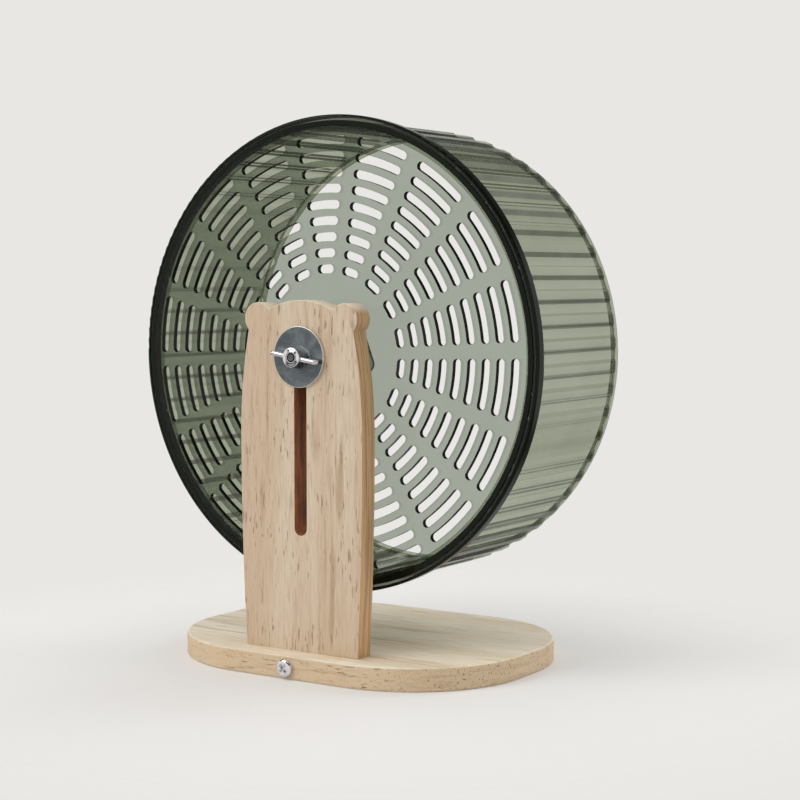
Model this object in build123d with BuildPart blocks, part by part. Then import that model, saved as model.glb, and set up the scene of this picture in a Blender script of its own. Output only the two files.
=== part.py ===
from build123d import *
import math
import os

os.makedirs("parts", exist_ok=True)

# A running wheel for small rodents on a two-board wooden stand, in millimetres.
# X runs across the wheel, Y along the axle away from the stand, and Z is up.
# The origin is the centre of the base board's underside.

# Base board
base_width = 208.0
base_depth = 157.0
base_corner = 68.0
base_thick = 12.5
base_edge_round = 1.2

# Upright board, with a bear's head at its top
upright_thick = 12.0
upright_setback = 13.7
foot_half = 36.9
belly_half = 40.1
belly_height = 128.0
neck_half = 34.4
neck_height = 185.5
head_top = 201.3
head_round = 46.0
ear_radius = 8.5
ear_side = 28.5
ear_height = 191.3
ear_blend = 1.6
slot_width = 8.0
slot_foot = 75.2
slot_headroom = 7.0
tenon_width = 44.0
tenon_gap = 0.15
tenon_short = 0.5

# Screw that locks the upright's tenon in the base
screw_radius = 2.0
screw_length = 22.0
screw_tip = 4.0
screw_head_radius = 4.8
screw_head_height = 2.8
screw_head_round = 1.9
screw_gap = 0.05

# Axle, its nuts and washers
axle_height = 171.0
axle_radius = 3.0
axle_length = 45.0
axle_head_height = 4.0
hex_across = 10.0
jam_nut_height = 5.0
hole_gap = 0.06
big_washer_radius = 16.4
big_washer_thick = 1.6
collar_radius = 4.5
collar_thick = 1.2
head_collar_thick = 1.0

# Wing nut
wing_hub_foot = 6.4
wing_hub_top = 5.3
wing_hub_height = 6.6
wing_span = 31.0
wing_thick = 2.4
wing_tip_radius = 2.0
wing_root_radius = 2.7
wing_tip_height = 3.4
wing_turn = 9.0

# Ball bearings in the hub
bearing_bore = 3.0
bearing_radius = 9.5
bearing_width = 6.0
bearing_step = 4.0
ball_radius = 1.75
ball_count = 7
ball_gap = 0.04
race_shoulder = 1.2
cage_width = 5.0
cage_thick = 1.1
cage_gap = 0.1

# Wheel
wheel_radius = 130.0
wheel_depth = 100.0
wheel_gap = 14.4
joint_gap = 0.1
press_gap = 0.02

# Slotted disc that closes the wheel beside the stand
disc_thick = 3.0
ring_count = 9
sector_count = 18
first_ring = 46.9
last_ring_inset = 7.4
cut_width = 4.8
spoke_inner = 5.8
spoke_outer = 8.0
spoke_turn = 2.5

# Near hoop, which holds the disc and the band together
hoop_length = 7.0
hoop_width = 6.1
hoop_land = 1.9
hoop_land_width = 2.5
hoop_lip = 2.9
hoop_bead = 1.3
groove_inset = 2.6
groove_width = 1.4
groove_depth = 0.6

# Fluted running band
flute_count = 60
flute_depth = 2.6
band_wall = 1.5
crest_share = 0.37
flank_share = 0.13
flute_turn = 3.0
flute_slope = 3.0
flute_cap = 1.3

# Far hoop
far_hoop_length = 4.0
far_hoop_bulge = 0.8
far_hoop_round = 0.9

# Hub that carries the bearings
hub_radius = 13.2
hub_lead = 0.4
hub_shoulder = 1.2
hub_flange_reach = 31.0
hub_flange_thick = 2.0
hub_flange_round = 4.0
hub_turn = -9.0
hub_sides = 6
rib_thick = 2.0
rib_reach = 26.0
rib_setback = 1.0
hub_screw_count = 3
hub_screw_circle = 22.0
hub_screw_radius = 1.5
hub_screw_head_radius = 2.9
hub_screw_head_height = 1.8
hub_screw_length = 8.0
hub_boss_radius = 3.2
hub_boss_height = 4.2
cap_wall = 1.6
cap_round = 3.0
cap_headroom = 1.5

# Places along Y, worked out from the boards to the wheel
base_front = -base_depth / 2
upright_front = base_front + upright_setback
upright_back = upright_front + upright_thick
washer_front = upright_front - big_washer_thick
nut_front = washer_front - wing_hub_height
rear_washer_back = upright_back + big_washer_thick
jam_nut_back = rear_washer_back + jam_nut_height
front_bearing_front = jam_nut_back + collar_thick
rear_bearing_front = front_bearing_front + bearing_width + bearing_step
rear_bearing_back = rear_bearing_front + bearing_width
head_front = rear_bearing_back + head_collar_thick
head_back = head_front + axle_head_height
wheel_front = upright_back + wheel_gap
disc_back = wheel_front + disc_thick
wheel_back = wheel_front + wheel_depth
band_front = disc_back + hoop_land
band_back = wheel_back - far_hoop_length

# Radii worked out from the wheel's outside and the bearings
disc_radius = wheel_radius - hoop_width
hoop_land_inner = disc_radius - hoop_land_width
groove_radius = wheel_radius - groove_inset
ring_pitch = (disc_radius - last_ring_inset - first_ring) / (ring_count - 1)
band_seat = wheel_radius - hoop_lip
crest_radius = band_seat - joint_gap
root_radius = crest_radius - flute_depth
band_bore = root_radius - band_wall
pitch_radius = (bearing_bore + bearing_radius) / 2
race_inner = pitch_radius - race_shoulder
race_outer = pitch_radius + race_shoulder
hub_bore = bearing_radius + press_gap
hub_front = front_bearing_front - hub_lead
hub_back = rear_bearing_back + hub_lead

# Slot's upper end, above the axle where it sits highest
slot_head = axle_height + slot_headroom

axle_line = Axis((0, 0, axle_height), (0, 1, 0))
axle_section = Plane(origin=(0, 0, axle_height), x_dir=(0, 1, 0), z_dir=(1, 0, 0))


def facing(y, height=axle_height, turn=0.0):
    """A plane across the axle at y that faces the stand, with its x direction turned."""
    angle = math.radians(turn)
    x_dir = (math.cos(angle), 0, math.sin(angle))
    return Plane(origin=(0, y, height), x_dir=x_dir, z_dir=(0, -1, 0))


def finish(piece, name):
    """Labels a piece and writes it under its name."""
    piece.part.label = name
    export_step(piece.part, f"parts/{name}.step")


def around(radius, degrees):
    """A point on a circle about the axle, in a plane across it."""
    angle = math.radians(degrees)
    return (radius * math.cos(angle), radius * math.sin(angle))


def collar(name, front, back, bore, radius):
    """A plain round washer, collar or sleeve on the axle."""
    with BuildPart() as sleeve:
        with BuildSketch(facing(back)):
            Circle(radius)
            Circle(bore, mode=Mode.SUBTRACT)
        extrude(amount=back - front)
    finish(sleeve, name)


# Base board: a rounded oblong with a mortise for the upright
with BuildPart() as base_plate:
    with BuildSketch():
        RectangleRounded(base_width, base_depth, base_corner)
    extrude(amount=base_thick)
    rims = base_plate.faces().filter_by(Axis.Z).edges()
    fillet(rims, radius=base_edge_round)
    with BuildSketch():
        with Locations((0, upright_front + upright_thick / 2)):
            Rectangle(tenon_width + 2 * tenon_gap, upright_thick + 2 * tenon_gap)
    extrude(amount=base_thick, mode=Mode.SUBTRACT)
    with BuildSketch(facing(upright_front, base_thick / 2)):
        Circle(screw_radius + screw_gap)
    extrude(amount=upright_setback, mode=Mode.SUBTRACT)
finish(base_plate, "base_plate")


# Upright: bowed sides, a neck, two round ears, the head's arc, the slot and the tenon
with BuildPart() as upright:
    with BuildSketch(facing(upright_back, 0)) as board:
        with BuildLine():
            foot = (foot_half, base_thick)
            belly = (belly_half, belly_height)
            neck = (neck_half, neck_height)
            crown_end = (ear_side, head_top - head_round + math.sqrt(head_round**2 - ear_side**2))
            Line((0, base_thick), foot)
            TangentArc(belly, foot, tangent=(0, -1))
            TangentArc(belly, neck, tangent=(0, 1))
            Line(neck, crown_end)
            RadiusArc((0, head_top), crown_end, head_round)
            mirror(about=Plane.YZ)
        make_face()
        with Locations((ear_side, ear_height), (-ear_side, ear_height)):
            Circle(ear_radius)
        joins = board.vertices().filter_by_position(Axis.Y, neck_height - ear_radius, head_top - ear_blend)
        fillet(joins, radius=ear_blend)
        with Locations((0, (slot_foot + slot_head) / 2)):
            SlotOverall(slot_head - slot_foot, slot_width, rotation=90, mode=Mode.SUBTRACT)
        with Locations((0, (base_thick + tenon_short) / 2)):
            Rectangle(tenon_width, base_thick - tenon_short)
    extrude(amount=upright_thick)
    with BuildSketch(facing(upright_front + screw_length - upright_setback, base_thick / 2)):
        Circle(screw_radius + screw_gap)
    extrude(amount=screw_length - upright_setback, mode=Mode.SUBTRACT)
finish(upright, "upright")


# Pan-head screw in the base's front edge, into the tenon
screw_end = base_front + screw_length
screw_section = Plane(origin=(0, 0, base_thick / 2), x_dir=(0, 1, 0), z_dir=(1, 0, 0))
with BuildPart() as base_screw:
    with BuildSketch(screw_section) as pan:
        with BuildLine():
            Polyline(
                (screw_end, 0),
                (screw_end - screw_tip, screw_radius),
                (base_front, screw_radius),
                (base_front, screw_head_radius),
                (base_front - screw_head_height, screw_head_radius),
                (base_front - screw_head_height, 0),
                close=True,
            )
        make_face()
        head_rim = pan.vertices().group_by(Axis.Y)[-1].sort_by(Axis.X)[0]
        fillet(head_rim, radius=screw_head_round)
    revolve(axis=Axis((0, 0, base_thick / 2), (0, 1, 0)))
finish(base_screw, "base_screw")


# Axle bolt: a round shank with its hexagon head inside the wheel
with BuildPart() as axle_bolt:
    with BuildSketch(facing(head_front)):
        Circle(axle_radius)
    extrude(amount=axle_length)
    with BuildSketch(facing(head_back)):
        RegularPolygon(hex_across / 2, 6, major_radius=False)
    extrude(amount=axle_head_height)
finish(axle_bolt, "axle_bolt")


collar("front_washer", washer_front, upright_front, axle_radius + hole_gap, big_washer_radius)
collar("rear_washer", upright_back, rear_washer_back, axle_radius + hole_gap, big_washer_radius)
collar("front_collar", jam_nut_back, front_bearing_front, axle_radius + hole_gap, collar_radius)
collar("head_collar", rear_bearing_back, head_front, axle_radius + hole_gap, collar_radius)


# Jam nut that holds the bearings against the bolt's head
with BuildPart() as jam_nut:
    with BuildSketch(facing(jam_nut_back)):
        RegularPolygon(hex_across / 2, 6, major_radius=False)
        Circle(axle_radius + hole_gap, mode=Mode.SUBTRACT)
    extrude(amount=jam_nut_height)
finish(jam_nut, "jam_nut")


# Wing nut: a tapered hub with two low wings
wing_angle = math.radians(wing_turn)
wing_plane = Plane(
    origin=(0, washer_front, axle_height),
    x_dir=(math.cos(wing_angle), 0, -math.sin(wing_angle)),
    z_dir=(-math.sin(wing_angle), 0, -math.cos(wing_angle)),
)
with BuildPart() as wing_nut:
    with BuildSketch(axle_section):
        with BuildLine():
            Polyline(
                (washer_front, 0),
                (washer_front, wing_hub_foot),
                (nut_front, wing_hub_top),
                (nut_front, 0),
                close=True,
            )
        make_face()
    revolve(axis=axle_line)
    for side_sign in (1, -1):
        with BuildSketch(wing_plane):
            with Locations((side_sign * (wing_span / 2 - wing_tip_radius), wing_tip_height)):
                Circle(wing_tip_radius)
            with Locations((side_sign * wing_hub_top / 2, wing_root_radius)):
                Circle(wing_root_radius)
            make_hull()
        extrude(amount=wing_thick / 2, both=True)
    with BuildSketch(facing(washer_front)):
        Circle(axle_radius + hole_gap)
    extrude(amount=wing_hub_height, mode=Mode.SUBTRACT)
finish(wing_nut, "wing_nut")


def bearing(name, front):
    """A deep-groove ball bearing: inner and outer ring, balls and their cage."""
    middle = front + bearing_width / 2
    groove = ball_radius + ball_gap
    for part, low, high in (
        ("inner_ring", bearing_bore + hole_gap, race_inner),
        ("outer_ring", race_outer, bearing_radius),
    ):
        with BuildPart() as ring:
            with BuildSketch(axle_section):
                with Locations((middle, (low + high) / 2)):
                    Rectangle(bearing_width, high - low)
                with Locations((middle, pitch_radius)):
                    Circle(groove, mode=Mode.SUBTRACT)
            revolve(axis=axle_line)
        finish(ring, f"{name}_{part}")
    with BuildPart(facing(middle)) as balls:
        with PolarLocations(pitch_radius, ball_count):
            Sphere(ball_radius)
    finish(balls, f"{name}_balls")
    with BuildPart() as cage:
        with BuildSketch(facing(middle)):
            Circle(pitch_radius + cage_thick / 2)
            Circle(pitch_radius - cage_thick / 2, mode=Mode.SUBTRACT)
        extrude(amount=cage_width / 2, both=True)
        with Locations(facing(middle)):
            with PolarLocations(pitch_radius, ball_count):
                pocket = ball_radius + cage_gap
                Cylinder(pocket, 2 * cage_thick, rotation=(0, 90, 0), mode=Mode.SUBTRACT)
    finish(cage, f"{name}_cage")


bearing("front_bearing", front_bearing_front)
bearing("rear_bearing", rear_bearing_front)
collar(
    "bearing_sleeve",
    front_bearing_front + bearing_width,
    rear_bearing_front,
    axle_radius + hole_gap,
    collar_radius,
)


# Hub housing: a barrel for both bearings, with a six-sided flange, ribs and screw bosses
with BuildPart() as hub_housing:
    with BuildSketch(facing(hub_back)):
        Circle(hub_radius)
    extrude(amount=hub_back - hub_front)
    with BuildSketch(facing(wheel_front, turn=hub_turn)) as flange:
        RegularPolygon(hub_flange_reach, hub_sides)
        fillet(flange.vertices(), radius=hub_flange_round)
    extrude(amount=hub_flange_thick)
    for corner in range(hub_sides):
        rib_angle = math.radians(hub_turn + 360 / hub_sides * corner)
        rib_plane = Plane(
            origin=(0, 0, axle_height),
            x_dir=(math.cos(rib_angle), 0, math.sin(rib_angle)),
            z_dir=(math.sin(rib_angle), 0, -math.cos(rib_angle)),
        )
        with BuildSketch(rib_plane):
            with BuildLine():
                Polyline(
                    (hub_radius / 2, -wheel_front),
                    (rib_reach, -wheel_front),
                    (rib_reach, hub_flange_thick - wheel_front),
                    (hub_radius, -hub_front - rib_setback),
                    (hub_radius / 2, -hub_front - rib_setback),
                    close=True,
                )
            make_face()
        extrude(amount=rib_thick / 2, both=True)
    with BuildSketch(facing(wheel_front, turn=hub_turn)):
        with PolarLocations(hub_screw_circle, hub_screw_count, start_angle=360 / hub_sides):
            Circle(hub_boss_radius)
    extrude(amount=hub_boss_height)
    for front, back in (
        (hub_front, front_bearing_front + bearing_width),
        (rear_bearing_front, hub_back),
    ):
        with BuildSketch(facing(back)):
            Circle(hub_bore)
        extrude(amount=back - front, mode=Mode.SUBTRACT)
    with BuildSketch(facing(rear_bearing_front)):
        Circle(hub_bore - hub_shoulder)
    extrude(amount=bearing_step, mode=Mode.SUBTRACT)
    with BuildSketch(facing(wheel_front, turn=hub_turn)):
        with PolarLocations(hub_screw_circle, hub_screw_count, start_angle=360 / hub_sides):
            Circle(hub_screw_radius + screw_gap)
    extrude(amount=hub_screw_length - disc_thick + screw_gap, mode=Mode.SUBTRACT)
finish(hub_housing, "hub_housing")


# Screws from inside the wheel, through the disc and into the hub's bosses
with BuildPart(facing(disc_back, turn=hub_turn)) as hub_screws:
    with PolarLocations(hub_screw_circle, hub_screw_count, start_angle=360 / hub_sides):
        Cylinder(
            hub_screw_radius,
            hub_screw_length,
            align=(Align.CENTER, Align.CENTER, Align.MIN),
        )
        Cylinder(
            hub_screw_head_radius,
            hub_screw_head_height,
            align=(Align.CENTER, Align.CENTER, Align.MAX),
        )
finish(hub_screws, "hub_screws")


# Cap that snaps over the barrel's inner end and covers the bolt's head
cap_back = head_back + cap_headroom + cap_wall
cap_radius = hub_radius + joint_gap + cap_wall
with BuildPart() as hub_cap:
    with BuildSketch(facing(cap_back)):
        Circle(cap_radius)
    extrude(amount=cap_back - disc_back)
    fillet(hub_cap.faces().sort_by(Axis.Y)[-1].edges(), radius=cap_round)
    with BuildSketch(facing(cap_back - cap_wall)):
        Circle(hub_radius - cap_wall)
    extrude(amount=cap_back - disc_back, mode=Mode.SUBTRACT)
    with BuildSketch(facing(hub_back + joint_gap)):
        Circle(hub_radius + joint_gap)
    extrude(amount=hub_back - disc_back + joint_gap, mode=Mode.SUBTRACT)
finish(hub_cap, "hub_cap")


# Slotted disc: rings of round-ended arc slots in sectors, with a plain middle and margin
sector = 360 / sector_count
with BuildPart() as slotted_disc:
    with BuildSketch(facing(disc_back, turn=spoke_turn)):
        Circle(disc_radius)
        Circle(hub_radius + joint_gap, mode=Mode.SUBTRACT)
        for ring in range(ring_count):
            radius = first_ring + ring * ring_pitch
            spoke = spoke_inner + (spoke_outer - spoke_inner) * ring / (ring_count - 1)
            sweep = sector - math.degrees((spoke + cut_width) / radius)
            with BuildLine(mode=Mode.PRIVATE) as cut:
                CenterArc((0, 0), radius, (sector - sweep) / 2, sweep)
            with PolarLocations(0, sector_count):
                SlotArc(cut.wire(), cut_width, mode=Mode.SUBTRACT)
    extrude(amount=disc_thick)
    with BuildSketch(facing(disc_back, turn=hub_turn)):
        with PolarLocations(hub_screw_circle, hub_screw_count, start_angle=360 / hub_sides):
            Circle(hub_screw_radius + screw_gap)
    extrude(amount=disc_thick, mode=Mode.SUBTRACT)
finish(slotted_disc, "slotted_disc")


# Near hoop: a beaded front with a groove, a land behind the disc and a lip round the band
with BuildPart() as near_hoop:
    with BuildSketch(axle_section) as hoop:
        with BuildLine():
            Polyline(
                (wheel_front, disc_radius + joint_gap),
                (wheel_front, wheel_radius),
                (wheel_front + hoop_length, wheel_radius),
                (wheel_front + hoop_length, band_seat),
                (band_front, band_seat),
                (band_front, hoop_land_inner),
                (disc_back, hoop_land_inner),
                (disc_back, disc_radius + joint_gap),
                close=True,
            )
        make_face()
        corners = hoop.vertices().group_by(Axis.Y)[-1]
        fillet(corners, radius=hoop_bead)
        with Locations((wheel_front, groove_radius)):
            Rectangle(2 * groove_depth, groove_width, mode=Mode.SUBTRACT)
    revolve(axis=axle_line)
finish(near_hoop, "near_hoop")


def flutes(root, crest, shift):
    """The closed outline of a fluted wall; shift draws the crests in and widens the roots."""
    pitch = 360 / flute_count
    crest_half = pitch * crest_share / 2 - shift
    root_half = pitch * (0.5 - flank_share - crest_share / 2) + shift
    for flute in range(flute_count):
        crest_middle = flute_turn + pitch * flute
        root_middle = crest_middle + pitch / 2
        CenterArc((0, 0), crest, crest_middle - crest_half, 2 * crest_half)
        Line(around(crest, crest_middle + crest_half), around(root, root_middle - root_half))
        CenterArc((0, 0), root, root_middle - root_half, 2 * root_half)
        Line(around(root, root_middle + root_half), around(crest, crest_middle + pitch - crest_half))


# Fluted band: an even wall folded into flutes along the axle, whose far ends slope shut
flank_run = math.radians(360 / flute_count * flank_share) * root_radius
flank_angle = math.atan2(flute_depth, flank_run)
inner_shift = math.degrees(band_wall * math.tan(flank_angle / 2) / root_radius)
with BuildPart() as fluted_band:
    with BuildSketch(facing(band_back)):
        with BuildLine():
            flutes(root_radius, crest_radius, 0)
        make_face()
    extrude(amount=band_back - band_front)
    with BuildSketch(facing(band_back - flute_cap)):
        with BuildLine():
            flutes(root_radius - band_wall, crest_radius - band_wall, inner_shift)
        make_face()
    extrude(amount=band_back - flute_cap - band_front, mode=Mode.SUBTRACT)
    with BuildSketch(facing(band_back)):
        Circle(band_bore)
    extrude(amount=band_back - band_front, mode=Mode.SUBTRACT)
    with BuildSketch(axle_section):
        with BuildLine():
            Polyline(
                (band_back - flute_slope, crest_radius),
                (band_back, root_radius),
                (band_back, wheel_radius),
                (band_back - flute_slope, wheel_radius),
                close=True,
            )
        make_face()
    revolve(axis=axle_line, mode=Mode.SUBTRACT)
finish(fluted_band, "fluted_band")


# Far hoop: a rounded rim round the open side
with BuildPart() as far_hoop:
    with BuildSketch(axle_section) as rim:
        with Locations(((band_back + wheel_back) / 2, (band_bore + root_radius) / 2)):
            Rectangle(far_hoop_length, band_wall + 2 * far_hoop_bulge)
        fillet(rim.vertices(), radius=far_hoop_round)
    revolve(axis=axle_line)
finish(far_hoop, "far_hoop")
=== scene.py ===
import math

import bpy
from bpy.props import FloatProperty, FloatVectorProperty, IntProperty, PointerProperty
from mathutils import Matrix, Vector


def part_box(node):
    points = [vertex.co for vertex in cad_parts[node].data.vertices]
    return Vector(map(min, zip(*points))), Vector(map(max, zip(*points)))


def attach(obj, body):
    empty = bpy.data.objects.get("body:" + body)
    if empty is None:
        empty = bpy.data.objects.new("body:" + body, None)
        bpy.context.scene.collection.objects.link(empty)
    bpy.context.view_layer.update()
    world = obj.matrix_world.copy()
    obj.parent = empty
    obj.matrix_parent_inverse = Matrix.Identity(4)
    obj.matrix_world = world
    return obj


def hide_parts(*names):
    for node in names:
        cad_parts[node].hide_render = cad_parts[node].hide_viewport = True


bl_info = {
    "name": "Running wheel finishes",
    "version": (1, 0, 0),
    "blender": (4, 5, 0),
    "location": "View3D > Sidebar > Wheel",
    "description": "Dresses a running wheel on a wooden stand and sets its stage",
    "category": "Object",
}

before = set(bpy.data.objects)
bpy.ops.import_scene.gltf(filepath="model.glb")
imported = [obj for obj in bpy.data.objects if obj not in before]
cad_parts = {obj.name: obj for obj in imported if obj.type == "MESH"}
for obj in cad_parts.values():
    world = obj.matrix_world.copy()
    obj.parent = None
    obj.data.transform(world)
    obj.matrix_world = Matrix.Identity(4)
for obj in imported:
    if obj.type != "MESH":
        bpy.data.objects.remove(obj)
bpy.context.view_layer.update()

MM = 0.001


def written(red, green, blue):
    """A colour given as on screen, 0 to 255, as the linear values that shaders use."""
    linear = []
    for level in (red, green, blue):
        share = level / 255
        linear.append(share / 12.92 if share <= 0.04045 else ((share + 0.055) / 1.055) ** 2.4)
    return tuple(linear)


def colour_property(name, description, default):
    """A setting that holds a colour."""
    return FloatVectorProperty(
        name=name, description=description, subtype="COLOR", size=3, min=0, max=1, default=default
    )


def length_property(name, description, default):
    """A setting that holds a length in metres."""
    return FloatProperty(
        name=name,
        description=description,
        subtype="DISTANCE",
        unit="LENGTH",
        min=0,
        default=default,
    )


def share_property(name, description, default):
    """A setting that holds a share from 0 to 1."""
    return FloatProperty(
        name=name, description=description, subtype="FACTOR", min=0, max=1, default=default
    )


# Places read from the frame
axle_low, axle_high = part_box("axle_bolt")
AXLE_HEIGHT = (axle_low[2] + axle_high[2]) / 2
NUT_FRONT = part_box("wing_nut")[0][1]

# Sizes that follow the solids
WASHER_HOLE = 3.06 * MM
WASHER_RADIUS = 16.4 * MM
COLLAR_RADIUS = 4.5 * MM
HUB_SHANK_RADIUS = 1.5 * MM

# Values that several pieces and finishes share
# Near black painted as shade in the gap round the bolt's end and inside the nut's bore
GAP_SHADE = (0.01, 0.01, 0.012)
ROUND_SIDES = 48
# How far up or down the normal of a flat end points at least
LEVEL_FACE = 0.9
SMOOTH_ANGLE = math.radians(35)
JOIN_DISTANCE = 0.002 * MM
FLAT_ANGLE = math.radians(0.5)
SENSOR_WIDTH = 36


class BoardSettings(bpy.types.PropertyGroup):
    """Colours and figure of the two pine boards"""

    pale: colour_property("Pale pine", "Early wood between the streaks", written(212, 193, 168))
    warm: colour_property("Warm pine", "Broad warmer bands along the grain", written(202, 178, 150))
    streak: colour_property("Streak", "Late wood lines along the grain", written(164, 133, 100))
    fleck: colour_property("Fleck", "Short resin flecks", written(112, 82, 56))
    late: colour_property("Late wood", "Dark layers on the sawn sides", written(150, 110, 72))
    sawn: colour_property(
        "Sawn edge", "Sides of the upright across the layers", written(210, 167, 116)
    )
    # Pale sanded wood; also used as painted light on the upright's tops and a painted highlight on
    # its corners.
    worn_and_lit: colour_property("Sanded arris", "Rounded corners sanded pale", written(246, 232, 210))
    scorched: colour_property("Slot wall", "Browned wall of the cut slot", written(170, 106, 70))
    scorched_dark: colour_property(
        "Slot wall, dark", "Darkest part of the slot's wall", written(120, 70, 46)
    )
    base_pale: colour_property("Base pine", "Top of the base board", written(244, 233, 212))
    base_warm: colour_property("Base pine, warm", "Bands on the base board", written(234, 217, 188))
    base_streak: colour_property(
        "Base streak", "Grain lines in the base board", written(178, 152, 120)
    )
    base_rim: colour_property("Base rim", "Rim of the base board", written(204, 178, 143))
    slot_half: length_property("Half slot", "Half the slot's width", 4 * MM)
    slot_foot: length_property("Slot foot", "Height of the slot's lower end", 75.2 * MM)
    slot_head: length_property("Slot head", "Height of the slot's upper end", 178 * MM)
    arris: length_property("Arris", "Width of the sanded corners", 0.75 * MM)


class PlasticSettings(bpy.types.PropertyGroup):
    """Tint and depth of the smoked plastic"""

    disc_tint: colour_property(
        "Disc tint", "What one face of the disc lets through", (0.657, 0.692, 0.641)
    )
    band_tint: colour_property(
        "Band tint", "What one face of the band lets through", (0.648, 0.676, 0.597)
    )
    body: colour_property("Body", "The plastic's own dark colour", (0.05, 0.065, 0.045))
    deep: colour_property(
        "Deep", "Colour where the light runs along the sheet", (0.004, 0.006, 0.003)
    )
    veil: share_property("Veil", "How much of a clear face is the body colour", 0.06)
    wall: share_property("Walls", "How dark the cut walls are", 0.985)
    rim: share_property("Hoop", "How dark the near hoop is", 0.985)
    stripe: share_property("Stripe", "How dark the hoop's lighter ring is", 0.45)
    # Painted shade: how much darker one flank of each flute is drawn.
    flank_shade: share_property("Flanks", "How dark the flutes' flanks are on one side", 0.26)
    flutes: IntProperty(
        name="Flutes", description="Number of flutes round the band", min=1, default=60
    )
    hub: share_property("Hub", "How opaque the hub is", 0.24)
    edge: share_property("Edge shade", "How much darker a face is where it is seen along", 0.16)
    clear_shine: share_property("Shine", "Share of the mirror image on clear faces", 0.80)
    dark_shine: share_property("Shine, dark", "Share of the mirror image on dark faces", 0.06)
    stripe_inner: length_property("Stripe inside", "Inner radius of the lighter ring", 126.8 * MM)
    stripe_outer: length_property("Stripe outside", "Outer radius of the lighter ring", 128.4 * MM)
    clear_radius: length_property(
        "Clear radius", "Radius inside which the near hoop is clear", 123.9 * MM
    )


class MetalSettings(bpy.types.PropertyGroup):
    """Colours and soft edges of the metal parts, and the form of the wing nut"""

    zinc: colour_property("Zinc", "Bright plated fasteners", (0.86, 0.86, 0.88))
    # Painted reflection: the washers' dark colour and cooler clouds stand in for dark surroundings
    # mirrored in them.
    washer: colour_property("Washer", "Faces of the large washers", (0.085, 0.105, 0.115))
    washer_reflection_cloud: colour_property(
        "Washer cloud", "Cooler patches on the washers", (0.170, 0.190, 0.200)
    )
    # Painted highlight: a bright band drawn round the washers' outer and inner edges.
    washer_rim_highlight: colour_property("Washer rim", "Rubbed edge of the washers", (0.74, 0.72, 0.66))
    steel: colour_property("Steel", "Ground bearing rings", (0.50, 0.51, 0.52))
    brass: colour_property("Brass", "Pressed ball cages", (0.60, 0.43, 0.16))
    thread: colour_property("Thread", "Dark end of the bolt", (0.05, 0.05, 0.055))
    wing_turn: FloatProperty(
        name="Wing turn",
        description="Angle of the wings below the level",
        subtype="ANGLE",
        unit="ROTATION",
        default=math.radians(9),
    )
    wing_half: length_property("Half wing", "Half the wings' thickness", 1.2 * MM)
    hub_end: length_property("Nut hub", "Radius of the nut's hub at its outer end", 5.3 * MM)
    # Width of the painted highlight round the washers' edges.
    rim_highlight_width: length_property("Rubbed width", "Width of the washers' rubbed edge", 0.5 * MM)
    soft_edge: length_property("Soft edge", "Rounding on the turned parts", 0.25 * MM)
    nut_edge: length_property("Nut edge", "Rounding on the cast wing nut", 0.6 * MM)


class FastenerSettings(bpy.types.PropertyGroup):
    """Sizes of the modelled screws and the bolt's end"""

    recess_share: share_property(
        "Recess", "Length of the cross recess, as a share of the head", 0.78
    )
    recess_width: share_property("Recess width", "Width of the cross, as a share of the head", 0.23)
    shank_share: share_property("Shank", "Shank radius as a share of the head's", 0.42)
    hub_circle: length_property("Hub circle", "Radius of the circle of hub screws", 22 * MM)
    hub_turn: FloatProperty(
        name="Hub turn",
        description="Angle of the first hub screw round the axle",
        subtype="ANGLE",
        unit="ROTATION",
        default=math.radians(51),
    )
    hub_count: IntProperty(name="Hub screws", description="Number of hub screws", min=1, default=3)
    hub_head: length_property("Hub screw head", "Radius of a hub screw's head", 2.9 * MM)
    hub_head_height: length_property("Hub head height", "Height of a hub screw's head", 1.8 * MM)
    tip_radius: length_property("Bolt end", "Radius of the bolt's end in the nut", 2.75 * MM)
    tip_proud: length_property("Bolt end reach", "How far the end stands out of the nut", 0.35 * MM)
    tip_chamfer: length_property("Bolt end chamfer", "Chamfer round the bolt's end", 0.6 * MM)


class StageSettings(bpy.types.PropertyGroup):
    """Camera, lamps, floor and backdrop"""

    aim: FloatVectorProperty(
        name="Aim",
        description="Point that the camera looks at",
        subtype="TRANSLATION",
        unit="LENGTH",
        default=(44.82 * MM, -36.09 * MM, 148.12 * MM),
    )
    azimuth: FloatProperty(
        name="Azimuth",
        description="Camera's turn round the object from the front",
        subtype="ANGLE",
        unit="ROTATION",
        default=math.radians(33.32),
    )
    elevation: FloatProperty(
        name="Elevation",
        description="Camera's height above the level",
        subtype="ANGLE",
        unit="ROTATION",
        default=math.radians(3.96),
    )
    distance: length_property("Distance", "From the camera to its aim", 957.8 * MM)
    lens: FloatProperty(
        name="Lens", description="Focal length on a 36 mm sensor", min=1, default=80.96
    )
    backdrop: colour_property("Backdrop", "Colour behind the object", written(233, 231, 228))
    floor: colour_property("Floor", "Colour of the floor", written(236, 234, 232))
    room: FloatProperty(
        name="Room light", description="Strength of the even light", min=0, default=0.74
    )
    key: FloatProperty(
        name="Key lamp", description="Power of the main lamp", unit="POWER", min=0, default=11
    )
    back: FloatProperty(
        name="Back lamp", description="Power of the rear lamp", unit="POWER", min=0, default=8
    )
    floor_near: length_property("Floor near", "Radius inside which the floor is solid", 0.125)
    floor_far: length_property("Floor far", "Radius where the floor has faded out", 0.36)
    flag: share_property("Dark flags", "How dark the dark bands are that glossy parts mirror", 0.9)


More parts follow.
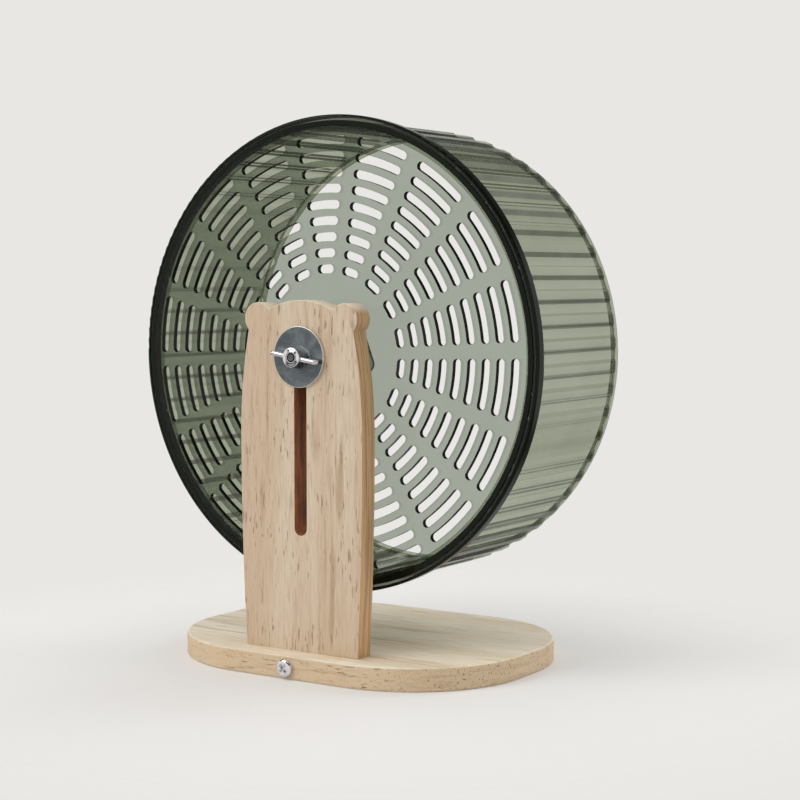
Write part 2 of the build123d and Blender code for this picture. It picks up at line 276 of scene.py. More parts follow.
# Node arithmetic
class Signal:
    """A value that runs through a material's nodes; arithmetic on it adds the nodes that do it."""

    SCALAR_RESULTS = {"DOT_PRODUCT", "LENGTH"}

    def __init__(self, tree, socket):
        self.tree = tree
        self.socket = socket

    @staticmethod
    def is_vector(value):
        """Whether a signal or a plain value has several parts."""
        if isinstance(value, Signal):
            return value.socket.type in {"VECTOR", "RGBA"}
        return isinstance(value, tuple)

    def into(self, socket):
        """Leads this value into a socket."""
        self.tree.links.new(self.socket, socket)

    def feed(self, socket, value):
        """Sets a socket of this tree to a number or a tuple, or leads a signal into it."""
        if isinstance(value, Signal):
            value.into(socket)
        elif isinstance(value, (int, float)) and socket.type in {"VECTOR", "RGBA"}:
            socket.default_value = (value,) * len(socket.default_value)
        elif socket.type == "RGBA":
            socket.default_value = (*value[:3], 1)
        else:
            socket.default_value = value

    def node(self, kind, inputs, output=0, **settings):
        """Any node, with its inputs by name or number and its settings; returns one output."""
        made = self.tree.nodes.new(kind)
        for name, value in settings.items():
            setattr(made, name, value)
        for key, value in inputs.items():
            self.feed(made.inputs[key], value)
        return Signal(self.tree, made.outputs[output])

    def calculate(self, operation, *values):
        """A Math node, or a Vector Math node where a value is a vector."""
        inputs = dict(enumerate(values))
        if not any(self.is_vector(value) for value in values):
            return self.node("ShaderNodeMath", inputs, operation=operation)
        output = 1 if operation in self.SCALAR_RESULTS else 0
        return self.node("ShaderNodeVectorMath", inputs, output, operation=operation)

    def __add__(self, other):
        return self.calculate("ADD", self, other)

    def __radd__(self, other):
        return self.calculate("ADD", other, self)

    def __sub__(self, other):
        return self.calculate("SUBTRACT", self, other)

    def __rsub__(self, other):
        return self.calculate("SUBTRACT", other, self)

    def __mul__(self, other):
        return self.calculate("MULTIPLY", self, other)

    def __rmul__(self, other):
        return self.calculate("MULTIPLY", other, self)

    def __truediv__(self, other):
        return self.calculate("DIVIDE", self, other)

    def __rtruediv__(self, other):
        return self.calculate("DIVIDE", other, self)

    def __abs__(self):
        return self.calculate("ABSOLUTE", self)

    def length(self):
        return self.calculate("LENGTH", self)

    def dot(self, other):
        return self.calculate("DOT_PRODUCT", self, other)

    def unit(self):
        return self.calculate("NORMALIZE", self)

    def turn(self):
        """The angle of this position about the Y axis."""
        return self.calculate("ARCTAN2", self.axis("Z"), self.axis("X"))

    def sine(self):
        return self.calculate("SINE", self)

    def axis(self, letter):
        return self.node("ShaderNodeSeparateXYZ", {0: self}, "XYZ".index(letter))

    def step(self, low, high, start=0.0, end=1.0):
        """Runs smoothly from start to end as this value goes from low to high."""
        inputs = {"Value": self, "From Min": low, "From Max": high, "To Min": start, "To Max": end}
        return self.node("ShaderNodeMapRange", inputs, interpolation_type="SMOOTHSTEP")

    def between(self, low, high, soft):
        """1 where this value lies between low and high, with soft ends."""
        return self.step(low - soft, low + soft) * self.step(high - soft, high + soft, 1.0, 0.0)

    def blend(self, first, second):
        """The first colour where this value is 0 and the second where it is 1."""
        mix = self.tree.nodes.new("ShaderNodeMix")
        mix.data_type = "RGBA"
        self.feed(mix.inputs[0], self)
        self.feed(mix.inputs[6], first)
        self.feed(mix.inputs[7], second)
        return Signal(self.tree, mix.outputs[2])

    def noise(self, size, detail=2.0, distortion=0.0, seed=(0.0, 0.0, 0.0)):
        """Noise over this position whose patches are about size across."""
        inputs = {
            "Vector": self + seed,
            "Scale": 1 / size,
            "Detail": detail,
            "Distortion": distortion,
        }
        return self.node("ShaderNodeTexNoise", inputs)

    def bump(self, strength, depth):
        """A normal that rises and falls with this value, by depth at the most."""
        inputs = {"Height": self, "Strength": strength, "Distance": depth}
        return self.node("ShaderNodeBump", inputs)


class Coat:
    """A new material with its shader, its output and the signals that its pattern starts from."""

    def __init__(self, name, **constants):
        self.material = bpy.data.materials.new(name)
        self.material.use_nodes = True
        self.tree = self.material.node_tree
        self.shader = self.tree.nodes["Principled BSDF"]
        self.output = self.tree.nodes["Material Output"]
        for key, value in constants.items():
            self.shader.inputs[key.replace("_", " ")].default_value = value
        coordinates = self.tree.nodes.new("ShaderNodeTexCoord")
        self.place = Signal(self.tree, coordinates.outputs["Object"])
        self.normal = Signal(self.tree, coordinates.outputs["Normal"])
        # 1 where a face is seen from inside the piece
        self.within = self.place.node("ShaderNodeNewGeometry", {}, "Backfacing")

    def set(self, name, signal):
        """Leads a varying signal into one of the shader's inputs."""
        signal.into(self.shader.inputs[name])

    def from_axle(self):
        """The vector straight out from the axle's line."""
        return (self.place - (0.0, 0.0, AXLE_HEIGHT)) * (1.0, 0.0, 1.0)


# Boards
def pine_figure(place, stretch, colours, seed):
    """Sawn pine drawn out along stretch: its colour, its late wood lines and its fibres."""
    pale, warm, streak = colours
    drawn = place * stretch
    bands = drawn.noise(26 * MM, 2, 0.4, seed).step(0.38, 0.66)
    colour = bands.blend(pale, warm)
    lines = drawn.noise(5.5 * MM, 3, 0.8, seed).step(0.55, 0.72, 0.0, 0.62)
    colour = lines.blend(colour, streak)
    fibres = drawn.noise(0.9 * MM, 2, 0.0, seed).step(0.35, 0.75, 0.0, 0.30)
    return fibres.blend(colour, streak), lines, fibres


def pine_flecks(place, stretch, seed):
    """Short dark flecks along the grain, in loose groups."""
    flecks = (place * stretch).noise(1.15 * MM, 1, 0.2, seed).step(0.64, 0.70)
    groups = place.noise(30 * MM, 1, 0.0, seed).step(0.38, 0.56, 0.25, 1.0)
    return flecks * groups


def upright_pine():
    """Pine with its grain upright, darker sawn sides, sanded corners with a painted highlight, tops
    painted pale as if lit, and a browned slot.
    """
    s = bpy.context.scene.wheel_boards
    coat = Coat("upright pine")
    along = (1.0, 0.35, 0.07)
    seed = (0.31, 0.0, 0.0)
    colour, lines, fibres = pine_figure(coat.place, along, (s.pale, s.warm, s.streak), seed)
    flecks = pine_flecks(coat.place, (1.0, 1.0, 0.13), seed)
    colour = (flecks * 0.62).blend(colour, s.fleck)
    facing = abs(coat.normal.axis("Y"))
    side = facing.step(0.35, 0.60, 1.0, 0.0)
    layers = (coat.place * (0.3, 1.0, 0.03)).noise(1.8 * MM, 3, 0.6).step(0.45, 0.62, 0.0, 0.75)
    sawn = layers.blend(s.sawn, s.late)
    colour = (side * 0.8).blend(colour, sawn)
    # Painted light: the upright's up-facing sawn edges are drawn pale, as if lit from above.
    lit_top = side * coat.normal.axis("Z").step(0.3, 0.8, 0.0, 0.8)
    colour = lit_top.blend(colour, s.worn_and_lit)
    # Sanded corners drawn pale; the pale colour is also a painted highlight on the rounded arris.
    sanded_and_lit_corner = facing.between(0.45, 0.90, 0.08)
    colour = (sanded_and_lit_corner * 0.85).blend(colour, s.worn_and_lit)
    across = abs(coat.place.axis("X"))
    inside = across.step(s.slot_half + 0.2 * MM, s.slot_half + 0.5 * MM, 1.0, 0.0)
    height = coat.place.axis("Z")
    inside = inside * height.between(s.slot_foot - 0.2 * MM, s.slot_head + 0.2 * MM, 0.2 * MM)
    wall = inside * facing.step(0.75, 0.95, 1.0, 0.0)
    soot = (coat.place * (1.0, 1.0, 0.2)).noise(4 * MM, 2).step(0.35, 0.7)
    colour = wall.blend(colour, soot.blend(s.scorched, s.scorched_dark))
    coat.set("Base Color", colour)
    coat.set("Roughness", lines.step(0.0, 0.6, 0.60, 0.48))
    coat.set("Normal", (fibres + lines * 0.5 - flecks).bump(0.35, 0.15 * MM))
    return coat.material


def base_pine():
    """Paler pine with its grain across, and open end pores round the rim."""
    s = bpy.context.scene.wheel_boards
    coat = Coat("base pine")
    along = (0.07, 1.0, 1.0)
    seed = (0.0, 0.17, 0.05)
    colours = (s.base_pale, s.base_warm, s.base_streak)
    colour, lines, fibres = pine_figure(coat.place, along, colours, seed)
    upward = coat.normal.axis("Z")
    rim = abs(upward).step(0.45, 0.80, 1.0, 0.0)
    layers = (coat.place * (0.10, 0.10, 1.0)).noise(2.6 * MM, 3, 1.2, seed)
    rings = layers.step(0.48, 0.70, 0.0, 0.65)
    sawn = rings.blend(s.base_rim, s.base_streak)
    colour = (rim * 0.85).blend(colour, sawn)
    pores = coat.place.noise(0.9 * MM, 1, 0.0, seed).step(0.64, 0.72) * rim
    flecks = pine_flecks(coat.place, (0.13, 1.0, 1.0), seed) * (rim * 0.8 + 0.15)
    colour = (pores * 0.45).blend(colour, s.fleck)
    colour = (flecks * 0.8).blend(colour, s.fleck)
    coat.set("Base Color", colour)
    coat.set("Roughness", lines.step(0.0, 0.6, 0.62, 0.50))
    coat.set("Normal", (fibres + lines * 0.4 - pores).bump(0.3, 0.12 * MM))
    return coat.material


# Smoked plastic
def smoked(name, tint, depth_of):
    """See-through smoked plastic; depth_of says from a coat how dark each place is, 0 to 1."""
    s = bpy.context.scene.wheel_plastic
    shine_roughness = 0.08
    shine_index = 1.42
    coat = Coat(name, IOR=1.49, Specular_IOR_Level=0.1, Coat_Weight=0.05, Coat_Roughness=0.05)
    depth = depth_of(coat, s)
    ripple = coat.place.noise(38 * MM, 2, 0.6)
    haze = ripple.step(0.3, 0.7, -0.03, 0.03)
    slant = coat.place.node("ShaderNodeLayerWeight", {"Blend": 0.35}, "Facing")
    depth = depth + haze + slant * slant * s.edge
    coat.set("Base Color", depth.step(0.2, 0.8).blend(s.body, s.deep))
    coat.set("Roughness", ripple.step(0.3, 0.7, 0.10, 0.20))
    coat.set("Normal", ripple.bump(0.15, 0.3 * MM))
    clear = coat.tree.nodes.new("ShaderNodeBsdfTransparent")
    clear.inputs["Color"].default_value = (*tint, 1)
    gloss = coat.tree.nodes.new("ShaderNodeBsdfGlossy")
    gloss.inputs["Roughness"].default_value = shine_roughness
    mirror = coat.place.node("ShaderNodeFresnel", {"IOR": shine_index})
    body = coat.tree.nodes.new("ShaderNodeMixShader")
    depth.step(0.0, 1.0).into(body.inputs[0])
    coat.tree.links.new(clear.outputs[0], body.inputs[1])
    coat.tree.links.new(coat.shader.outputs[0], body.inputs[2])
    shine = coat.tree.nodes.new("ShaderNodeMixShader")
    share = depth.step(0.0, 1.0, s.clear_shine, s.dark_shine)
    (mirror * share * (1.0 - coat.within)).into(shine.inputs[0])
    coat.tree.links.new(body.outputs[0], shine.inputs[1])
    coat.tree.links.new(gloss.outputs[0], shine.inputs[2])
    coat.tree.links.new(shine.outputs[0], coat.output.inputs["Surface"])
    return coat.material


def disc_depth(coat, s):
    """Clear faces and dark walls round the slots, which hardly show from within the sheet."""
    wall = abs(coat.normal.axis("Y")).step(0.3, 0.7, 1.0, 0.0)
    wall = wall * (1.0 - coat.within * 0.85)
    return wall * (s.wall - s.veil) + s.veil


def band_depth(coat, s):
    """Clear crests and roots, painted shade on one flank and across each flute, and dark ends."""
    spoke = coat.from_axle()
    outward = spoke.unit()
    onward = outward.calculate("CROSS_PRODUCT", (0.0, 1.0, 0.0), outward)
    lean = coat.normal.dot(outward) * coat.normal.dot(onward)
    # Painted shade: the flank of each flute that faces one way round the axle is drawn darker, as
    # if turned from the light.
    flank_shade = lean.step(0.12, 0.40) * s.flank_shade
    # Painted shade that rises and falls once across each flute.
    shade_turn = 0.42
    shade_depth = 0.04
    shade = (spoke.turn() * s.flutes - shade_turn).sine() * shade_depth
    end = abs(coat.normal.axis("Y")).step(0.5, 0.9, 0.0, 0.25)
    return flank_shade + shade + end + (s.veil + shade_depth)


def near_hoop_depth(coat, s):
    """Clear next to the disc, nearly black outside that, with one lighter ring in the bead."""
    radius = coat.from_axle().length()
    dark = radius.step(s.clear_radius - 0.2 * MM, s.clear_radius + 0.3 * MM, s.veil, s.rim)
    ring = radius.between(s.stripe_inner, s.stripe_outer, 0.2 * MM)
    ring = ring * abs(coat.normal.axis("Y")).step(0.2, 0.6)
    return ring * (s.stripe - s.rim) + dark


def far_hoop_depth(coat, s):
    """Clear rounded rim with a thin dark line where it turns outwards."""
    outward = coat.from_axle().unit()
    turned = coat.normal.dot(outward).between(0.35, 0.85, 0.1)
    return turned * 0.4 + s.veil


def hub_depth(coat, s):
    """The hub's thicker plastic, darker where its walls are seen along."""
    fine = coat.place.noise(6 * MM, 1).step(0.3, 0.7, -0.04, 0.04)
    wall = abs(coat.normal.axis("Y")).step(0.3, 0.8, 0.5, 0.0)
    return fine + wall + s.hub


# Metals
def plated_zinc():
    """Bright zinc plate with a faint brushed cloud."""
    s = bpy.context.scene.wheel_metal
    coat = Coat("plated zinc", Metallic=1.0)
    cloud = coat.place.noise(2.2 * MM, 3, 0.5)
    scratch = (coat.place * (1.0, 6.0, 1.0)).noise(0.5 * MM, 2)
    dull = cloud.step(0.3, 0.75, 0.0, 0.5)
    coat.set("Base Color", dull.blend(s.zinc, s.steel))
    coat.set("Roughness", cloud.step(0.3, 0.7, 0.08, 0.20))
    coat.set("Normal", (cloud + scratch * 0.3).bump(0.25, 0.05 * MM))
    return coat.material


def washer_steel(name, inner, outer):
    """Dark steel, its colour and cooler clouds a painted reflection of dark surroundings, with fine
    circles and a painted highlight round its edges.
    """
    s = bpy.context.scene.wheel_metal
    coat = Coat(name, Metallic=0.85)
    radius = coat.from_axle().length()
    cloud = coat.place.noise(9 * MM, 3, 1.2)
    circles = (radius * (1.0, 0.0, 0.0)).noise(0.35 * MM, 2)
    # Painted reflection: dark faces with lighter clouds in place of the mirrored surroundings.
    colour = cloud.step(0.35, 0.7).blend(s.washer, s.washer_reflection_cloud)
    colour = circles.step(0.45, 0.75, 0.0, 0.25).blend(colour, s.steel)
    # Painted highlight: bright bands at the outer edge and round the hole.
    highlit = radius.step(outer - s.rim_highlight_width, outer - 0.4 * s.rim_highlight_width)
    highlit = highlit + radius.step(inner + 0.3 * s.rim_highlight_width, inner + s.rim_highlight_width, 1.0, 0.0)
    colour = highlit.step(0.0, 1.0).blend(colour, s.washer_rim_highlight)
    coat.set("Base Color", colour)
    coat.set("Roughness", cloud.step(0.3, 0.7, 0.30, 0.45))
    coat.set("Normal", (circles + cloud).bump(0.2, 0.05 * MM))
    return coat.material


def cast_zinc():
    """Bright cast zinc of the wing nut, rounded across its wings and over its hub's end."""
    s = bpy.context.scene.wheel_metal
    coat = Coat("cast zinc", Metallic=1.0)
    cloud = coat.place.noise(1.6 * MM, 2, 0.8)
    radius = coat.from_axle().length()
    bolt = bpy.context.scene.wheel_fasteners.tip_radius
    # Painted shade: the bore and a thin ring round it are drawn near black, for the shade inside
    # the hole.
    bore_shade = radius.step(bolt + 0.45 * MM, bolt + 0.75 * MM, 1.0, 0.0)
    dull = cloud.step(0.3, 0.75, 0.0, 0.35).blend(s.zinc, s.steel)
    coat.set("Base Color", bore_shade.blend(dull, GAP_SHADE))
    coat.set("Roughness", cloud.step(0.3, 0.7, 0.07, 0.16))
    lean = (-math.sin(s.wing_turn), 0.0, -math.cos(s.wing_turn))
    across = (coat.place - (0.0, 0.0, AXLE_HEIGHT)).dot(lean) / s.wing_half
    rounded = across * across * radius.step(s.hub_end, s.hub_end + MM)
    dome = radius.step(bolt, s.hub_end)
    coat.set("Normal", (rounded * -1.0 - dome + cloud * 0.15).bump(1.0, 0.8 * MM))
    return coat.material


def threaded_steel():
    """Dark bolt end: a near black ring of painted shade, for the gap round the thread, about a
    duller middle.
    """
    s = bpy.context.scene.wheel_metal
    coat = Coat("threaded steel", Metallic=0.9)
    radius = coat.from_axle().length()
    grain = coat.place.noise(0.5 * MM, 2).step(0.3, 0.7, 0.0, 0.4)
    middle = grain.blend(s.thread, s.steel)
    bolt = bpy.context.scene.wheel_fasteners.tip_radius
    # Painted shade: the outer ring of the bolt's end is drawn near black, for the gap between bolt
    # and nut.
    gap = radius.step(0.55 * bolt, 0.75 * bolt)
    coat.set("Base Color", gap.blend(middle, GAP_SHADE))
    coat.set("Roughness", grain.step(0.0, 0.4, 0.3, 0.5))
    coat.set("Normal", grain.bump(0.2, 0.05 * MM))
    return coat.material


def ground_steel():
    """Ground bearing steel with grinding lines round the axle."""
    s = bpy.context.scene.wheel_metal
    coat = Coat("ground steel", Metallic=1.0)
    lines = (coat.from_axle().length() * (1.0, 0.0, 0.0)).noise(0.25 * MM, 2)
    coat.set("Base Color", lines.step(0.3, 0.7, 0.0, 0.5).blend(s.steel, s.zinc))
    coat.set("Roughness", lines.step(0.3, 0.7, 0.22, 0.34))
    coat.set("Normal", lines.bump(0.15, 0.03 * MM))
    return coat.material


def polished_steel():
    """Polished balls with a trace of grease."""
    s = bpy.context.scene.wheel_metal
    coat = Coat("polished steel", Metallic=1.0)
    grease = coat.place.noise(1.5 * MM, 2).step(0.4, 0.7)
    coat.set("Base Color", (grease * 0.4).blend(s.zinc, s.steel))
    coat.set("Roughness", grease.step(0.0, 1.0, 0.06, 0.2))
    return coat.material


def pressed_brass():
    """Pressed brass with dull patches."""
    s = bpy.context.scene.wheel_metal
    coat = Coat("pressed brass", Metallic=1.0)
    patches = coat.place.noise(1.2 * MM, 2)
    dull_brass = written(120, 88, 40)
    coat.set("Base Color", patches.step(0.35, 0.75, 0.0, 0.5).blend(s.brass, dull_brass))
    coat.set("Roughness", patches.step(0.3, 0.7, 0.28, 0.42))
    coat.set("Normal", patches.bump(0.2, 0.03 * MM))
    return coat.material


# Mesh helpers
def dress(name, material):
    """Gives a node of the frame its material in every slot."""
    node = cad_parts[name]
    for place in node.material_slots:
        place.material = material
    if not node.material_slots:
        node.data.materials.append(material)


def deselect_all():
    bpy.ops.object.select_all(action="DESELECT")


def start_with(add, name, **arguments):
    """Adds a primitive with nothing else selected, and names it."""
    deselect_all()
    add(**arguments)
    piece = bpy.context.object
    piece.name = name
    piece.data.name = name
    return piece


def pick_faces(piece, upward):
    """Enters edit mode with just the faces selected that point up (1) or down (-1)."""
    bpy.ops.object.mode_set(mode="EDIT")
    bpy.ops.mesh.select_mode(type="FACE")
    bpy.ops.mesh.select_all(action="DESELECT")
    bpy.ops.object.mode_set(mode="OBJECT")
    for face in piece.data.polygons:
        face.select = face.normal.z * upward > LEVEL_FACE
    bpy.ops.object.mode_set(mode="EDIT")


def leave_editing():
    """Turns all faces outwards and goes back to object mode."""
    bpy.ops.mesh.select_all(action="SELECT")
    bpy.ops.mesh.normals_make_consistent(inside=False)
    bpy.ops.object.mode_set(mode="OBJECT")


def settle(piece, material, body):
    """Bakes a piece's place into its mesh, smooths it, and gives it its finish and body."""
    deselect_all()
    piece.select_set(True)
    bpy.context.view_layer.objects.active = piece
    bpy.ops.object.transform_apply(location=True, rotation=True, scale=True)
    bpy.ops.object.shade_smooth_by_angle(angle=SMOOTH_ANGLE)
    piece.data.materials.clear()
    piece.data.materials.append(material)
    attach(piece, body)


def soften(name, width, segments=2, limit=40):
    """Rounds the sharp corners of a node of the frame with modifiers."""
    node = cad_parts[name]
    weld = node.modifiers.new("joined corners", "WELD")
    weld.merge_threshold = JOIN_DISTANCE
    flat = node.modifiers.new("whole flats", "DECIMATE")
    flat.decimate_type = "DISSOLVE"
    flat.angle_limit = FLAT_ANGLE
    bevel = node.modifiers.new("soft corners", "BEVEL")
    bevel.width = width
    bevel.segments = segments
    bevel.limit_method = "ANGLE"
    bevel.angle_limit = math.radians(limit)


def pan_head(name, head_radius, head_height, shank_length, shank_radius):
    """A cross-recess screw standing on the origin's plane: its head above and its shank below."""
    s = bpy.context.scene.wheel_fasteners
    dome = head_height * 0.62
    point_length = shank_length * 0.2
    point_share = 0.2
    recess_depth = head_height * 1.3
    recess_narrowing = 0.45
    screw = start_with(
        bpy.ops.mesh.primitive_cylinder_add,
        name,
        vertices=ROUND_SIDES,
        radius=head_radius,
        depth=head_height,
        location=(0, 0, head_height / 2),
    )
    bpy.ops.object.transform_apply(location=True, rotation=True, scale=True)
    pick_faces(screw, 1)
    bpy.ops.mesh.bevel(offset=dome, segments=6, profile=0.55, affect="EDGES")
    bpy.ops.object.mode_set(mode="OBJECT")
    pick_faces(screw, -1)
    bpy.ops.mesh.inset(thickness=head_radius - shank_radius)
    for drop in (shank_length - point_length, point_length):
        bpy.ops.mesh.extrude_region_move(TRANSFORM_OT_translate={"value": (0, 0, -drop)})
    bpy.ops.transform.resize(
        value=(point_share, point_share, 1), center_override=(0, 0, -shank_length)
    )
    leave_editing()
    for turn in (math.pi / 4, math.pi * 3 / 4):
        cut = start_with(
            bpy.ops.mesh.primitive_cube_add,
            f"{name} cut",
            size=1,
            location=(0, 0, head_height),
            rotation=(0, 0, turn),
            scale=(
                2 * head_radius * s.recess_share,
                2 * head_radius * s.recess_width,
                recess_depth,
            ),
        )
        bpy.ops.object.transform_apply(location=True, rotation=True, scale=True)
        pick_faces(cut, -1)
        bpy.ops.transform.resize(
            value=(recess_narrowing, recess_narrowing, 1), center_override=(0, 0, 0)
        )
        leave_editing()
        carve(screw, cut)
    return screw


def carve(piece, cutter):
    """Cuts one closed mesh out of another and removes the cutter."""
    deselect_all()
    bpy.context.view_layer.objects.active = piece
    piece.select_set(True)
    difference = piece.modifiers.new("recess", "BOOLEAN")
    difference.operation = "DIFFERENCE"
    difference.solver = "EXACT"
    difference.object = cutter
    bpy.ops.object.modifier_apply(modifier=difference.name)
    bpy.data.objects.remove(cutter, do_unlink=True)


class WHEEL_OT_boards(bpy.types.Operator):
    """Finishes the base board and the upright in pine"""

    bl_idname = "wheel.boards"
    bl_label = "Finish the boards"

    def execute(self, context):
        dress("upright", upright_pine())
        dress("base_plate", base_pine())
        soften("upright", context.scene.wheel_boards.arris)
        return {"FINISHED"}


class WHEEL_OT_plastic(bpy.types.Operator):
    """Finishes the wheel's disc, band, hoops and hub in smoked plastic"""

    bl_idname = "wheel.plastic"
    bl_label = "Finish the smoked plastic"

    def execute(self, context):
        s = context.scene.wheel_plastic
        dress("slotted_disc", smoked("smoked disc", s.disc_tint, disc_depth))
        dress("fluted_band", smoked("smoked band", s.band_tint, band_depth))
        dress("near_hoop", smoked("smoked near hoop", s.band_tint, near_hoop_depth))
        dress("far_hoop", smoked("smoked far hoop", s.band_tint, far_hoop_depth))
        hub = smoked("smoked hub", s.band_tint, hub_depth)
        for name in ("hub_housing", "hub_cap"):
            dress(name, hub)
        return {"FINISHED"}


class WHEEL_OT_metals(bpy.types.Operator):
    """Finishes the fasteners, washers and bearings in zinc, steel and brass"""

    bl_idname = "wheel.metals"
    bl_label = "Finish the metal parts"

    def execute(self, context):
        s = context.scene.wheel_metal
        zinc = plated_zinc()
        for name in ("axle_bolt", "jam_nut", "base_screw", "hub_screws"):
            dress(name, zinc)
        washer = washer_steel("washer steel", WASHER_HOLE, WASHER_RADIUS)
        for name in ("front_washer", "rear_washer"):
            dress(name, washer)
            soften(name, s.soft_edge)
        ring = washer_steel("collar steel", WASHER_HOLE, COLLAR_RADIUS)
        for name in ("front_collar", "head_collar", "bearing_sleeve"):
            dress(name, ring)
        ground = ground_steel()
        polished = polished_steel()
        brass = pressed_brass()
        for side in ("front", "rear"):
            dress(f"{side}_bearing_inner_ring", ground)
            dress(f"{side}_bearing_outer_ring", ground)
            dress(f"{side}_bearing_balls", polished)
            dress(f"{side}_bearing_cage", brass)
        dress("wing_nut", cast_zinc())
        soften("wing_nut", s.nut_edge, 3, 30)
        return {"FINISHED"}


class WHEEL_OT_screws(bpy.types.Operator):
    """Models the cross-recess screws of the base and the hub"""

    bl_idname = "wheel.screws"
    bl_label = "Model the screws"

    def execute(self, context):
        s = context.scene.wheel_fasteners
        zinc = bpy.data.materials["plated zinc"]
        low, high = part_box("base_screw")
        radius = (high[0] - low[0]) / 2
        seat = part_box("base_plate")[0][1]
        screw = pan_head(
            "base_screw_turned", radius, seat - low[1], high[1] - seat, radius * s.shank_share
        )
        screw.rotation_euler = (math.pi / 2, 0, 0)
        screw.location = (0, seat, (low[2] + high[2]) / 2)
        settle(screw, zinc, "stand")
        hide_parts("base_screw")
        self.hub_screws(s, zinc)
        return {"FINISHED"}

    def hub_screws(self, s, zinc):
        """One screw, copied round the hub's circle, heads inside the wheel."""
        low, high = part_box("hub_screws")
        seat = high[1] - s.hub_head_height
        first = pan_head(
            "hub_screw_1", s.hub_head, s.hub_head_height, seat - low[1], HUB_SHANK_RADIUS
        )
        screws = [first]
        for index in range(1, s.hub_count):
            copy = first.copy()
            copy.data = first.data.copy()
            copy.name = f"hub_screw_{index + 1}"
            copy.data.name = copy.name
            bpy.context.collection.objects.link(copy)
            screws.append(copy)
        for index, screw in enumerate(screws):
            angle = s.hub_turn + 2 * math.pi * index / s.hub_count
            screw.rotation_euler = (-math.pi / 2, 0, 0)
            screw.location = (
                s.hub_circle * math.cos(angle),
                seat,
                AXLE_HEIGHT + s.hub_circle * math.sin(angle),
            )
            settle(screw, zinc, "drum")
            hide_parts("hub_screws")


class WHEEL_OT_bolt_end(bpy.types.Operator):
    """Models the chamfered end of the axle bolt inside the wing nut"""

    bl_idname = "wheel.bolt_end"
    bl_label = "Model the bolt's end"

    def execute(self, context):
        s = context.scene.wheel_fasteners
        depth = 1.5 * MM
        dip = 0.2 * MM
        dip_border = 0.5 * MM
        tip = start_with(
            bpy.ops.mesh.primitive_cylinder_add,
            "bolt_end",
            vertices=ROUND_SIDES,
            radius=s.tip_radius,
            depth=depth,
            location=(0, 0, 0),
        )
        pick_faces(tip, 1)
        bpy.ops.mesh.bevel(offset=s.tip_chamfer, segments=2, affect="EDGES")
        bpy.ops.object.mode_set(mode="OBJECT")
        pick_faces(tip, 1)
        bpy.ops.mesh.inset(thickness=dip_border)
        bpy.ops.transform.translate(value=(0, 0, -dip))
        leave_editing()
        tip.rotation_euler = (math.pi / 2, 0, 0)
        tip.location = (0, NUT_FRONT - s.tip_proud + depth / 2, AXLE_HEIGHT)
        settle(tip, threaded_steel(), "axle")
        return {"FINISHED"}


def soft_lamp(name, power, size, place, aim, mirrored=True):
    """A square soft lamp that faces a point; one that isn't mirrored leaves no highlights."""
    light = bpy.data.lights.new(name, "AREA")
    light.energy = power
    light.size = size
    lamp = bpy.data.objects.new(name, light)
    lamp.location = place
    lamp.rotation_euler = (Vector(place) - Vector(aim)).to_track_quat("Z", "Y").to_euler()
    lamp.visible_glossy = mirrored
    bpy.context.collection.objects.link(lamp)


def paint_room(s):
    """Even light from all round, and a pale backdrop for camera, mirrored and see-through rays."""
    world = bpy.data.worlds.new("room")
    bpy.context.scene.world = world
    world.use_nodes = True
    tree = world.node_tree
    even = tree.nodes["Background"]
    even.inputs["Color"].default_value = (1, 1, 1, 1)
    even.inputs["Strength"].default_value = s.room
    pale = tree.nodes.new("ShaderNodeBackground")
    path = tree.nodes.new("ShaderNodeLightPath")
    direction = Signal(tree, tree.nodes.new("ShaderNodeTexCoord").outputs["Generated"])
    height = direction.axis("Z")
    softness = 0.08
    upper_flag = height.between(0.38, 0.85, softness)
    lower_flag = height.between(-0.90, -0.30, softness)
    flag_colour = (0.01, 0.01, 0.01)
    mirrored = (upper_flag + lower_flag) * Signal(tree, path.outputs["Is Glossy Ray"]) * s.flag
    mirrored.blend(s.backdrop, flag_colour).into(pale.inputs["Color"])
    straight = Signal(tree, path.outputs["Is Camera Ray"])
    seen = straight + Signal(tree, path.outputs["Is Glossy Ray"])
    seen = seen + Signal(tree, path.outputs["Is Transmission Ray"])
    mix = tree.nodes.new("ShaderNodeMixShader")
    seen.calculate("MINIMUM", seen, 1.0).into(mix.inputs[0])
    tree.links.new(even.outputs[0], mix.inputs[1])
    tree.links.new(pale.outputs[0], mix.inputs[2])
    tree.links.new(mix.outputs[0], tree.nodes["World Output"].inputs["Surface"])


def floor_finish(s):
    """Plain pale floor that fades into the backdrop away from the object."""
    coat = Coat("pale floor", Roughness=0.9)
    coat.shader.inputs["Specular IOR Level"].default_value = 0.1
    coat.shader.inputs["Base Color"].default_value = (*s.floor, 1)
    away = (coat.place * (1.0, 1.0, 0.0)).length()
    coat.set("Alpha", away.step(s.floor_near, s.floor_far, 1.0, 0.0))
    return coat.material


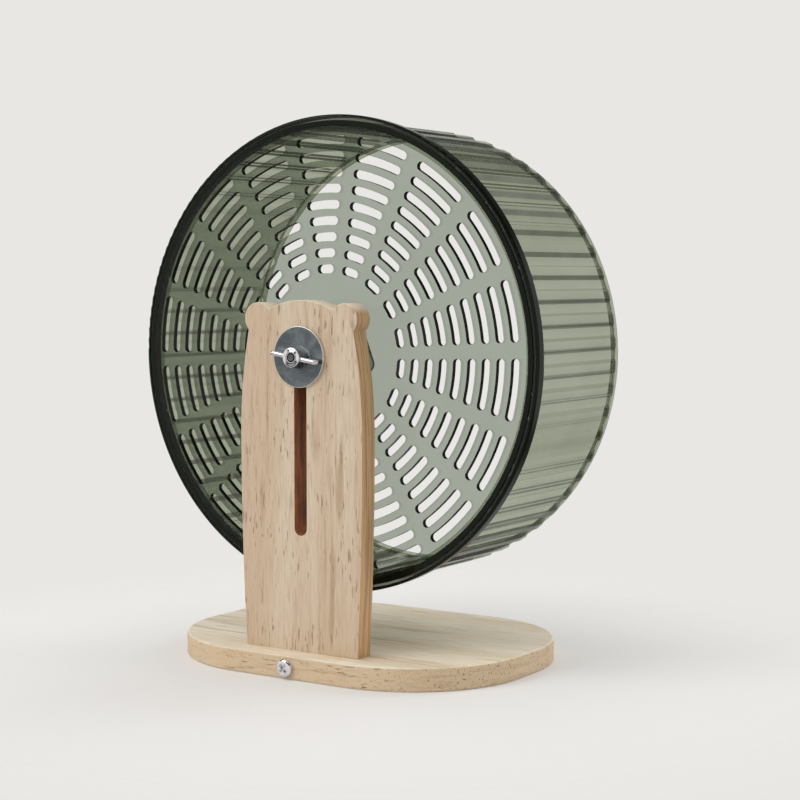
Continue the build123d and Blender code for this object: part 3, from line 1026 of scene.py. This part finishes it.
class WHEEL_OT_stage(bpy.types.Operator):
    """Sets the camera, the lamps, the floor and the backdrop"""

    bl_idname = "wheel.stage"
    bl_label = "Set the stage"

    def execute(self, context):
        s = context.scene.wheel_stage
        level = math.cos(s.elevation)
        back = Vector(
            (math.sin(s.azimuth) * level, -math.cos(s.azimuth) * level, math.sin(s.elevation))
        )
        lens = bpy.data.cameras.new("camera")
        lens.lens = s.lens
        lens.sensor_width = SENSOR_WIDTH
        camera = bpy.data.objects.new("camera", lens)
        camera.location = Vector(s.aim) + back * s.distance
        camera.rotation_euler = back.to_track_quat("Z", "Y").to_euler()
        context.collection.objects.link(camera)
        context.scene.camera = camera
        middle = (0, 0, 0.14)
        key_size = 1.0
        key_place = (-0.75, -1.15, 1.15)
        back_size = 0.9
        back_place = (0.7, 1.2, 0.9)
        soft_lamp("key lamp", s.key, key_size, key_place, middle)
        soft_lamp("back lamp", s.back, back_size, back_place, middle, mirrored=False)
        paint_room(s)
        below_base = (0, 0, -0.1 * MM)
        floor = start_with(bpy.ops.mesh.primitive_plane_add, "floor", size=4, location=below_base)
        floor.data.materials.append(floor_finish(s))
        context.scene.view_settings.view_transform = "Standard"
        return {"FINISHED"}


class WHEEL_PT_panel(bpy.types.Panel):
    """Lists the wheel's steps and settings"""

    bl_idname = "WHEEL_PT_panel"
    bl_label = "Running wheel"
    bl_space_type = "VIEW_3D"
    bl_region_type = "UI"
    bl_category = "Wheel"

    def draw(self, context):
        for step in STEPS:
            self.layout.operator(step.bl_idname)
        for name in SETTINGS:
            box = self.layout.box()
            group = getattr(context.scene, name)
            box.label(text=group.bl_rna.description)
            for key in group.bl_rna.properties.keys():
                if key not in {"rna_type", "name"}:
                    box.prop(group, key)


SETTINGS = {
    "wheel_boards": BoardSettings,
    "wheel_plastic": PlasticSettings,
    "wheel_metal": MetalSettings,
    "wheel_fasteners": FastenerSettings,
    "wheel_stage": StageSettings,
}
STEPS = (
    WHEEL_OT_stage,
    WHEEL_OT_boards,
    WHEEL_OT_plastic,
    WHEEL_OT_metals,
    WHEEL_OT_screws,
    WHEEL_OT_bolt_end,
)


def register():
    for group in (*SETTINGS.values(), *STEPS, WHEEL_PT_panel):
        bpy.utils.register_class(group)
    for name, group in SETTINGS.items():
        setattr(bpy.types.Scene, name, PointerProperty(type=group))


def unregister():
    for name in SETTINGS:
        delattr(bpy.types.Scene, name)
    for group in reversed((*SETTINGS.values(), *STEPS, WHEEL_PT_panel)):
        bpy.utils.unregister_class(group)


def main():
    register()
    bpy.ops.wheel.stage()
    bpy.ops.wheel.boards()
    bpy.ops.wheel.plastic()
    bpy.ops.wheel.metals()
    bpy.ops.wheel.screws()
    bpy.ops.wheel.bolt_end()


if __name__ == "__main__":
    main()
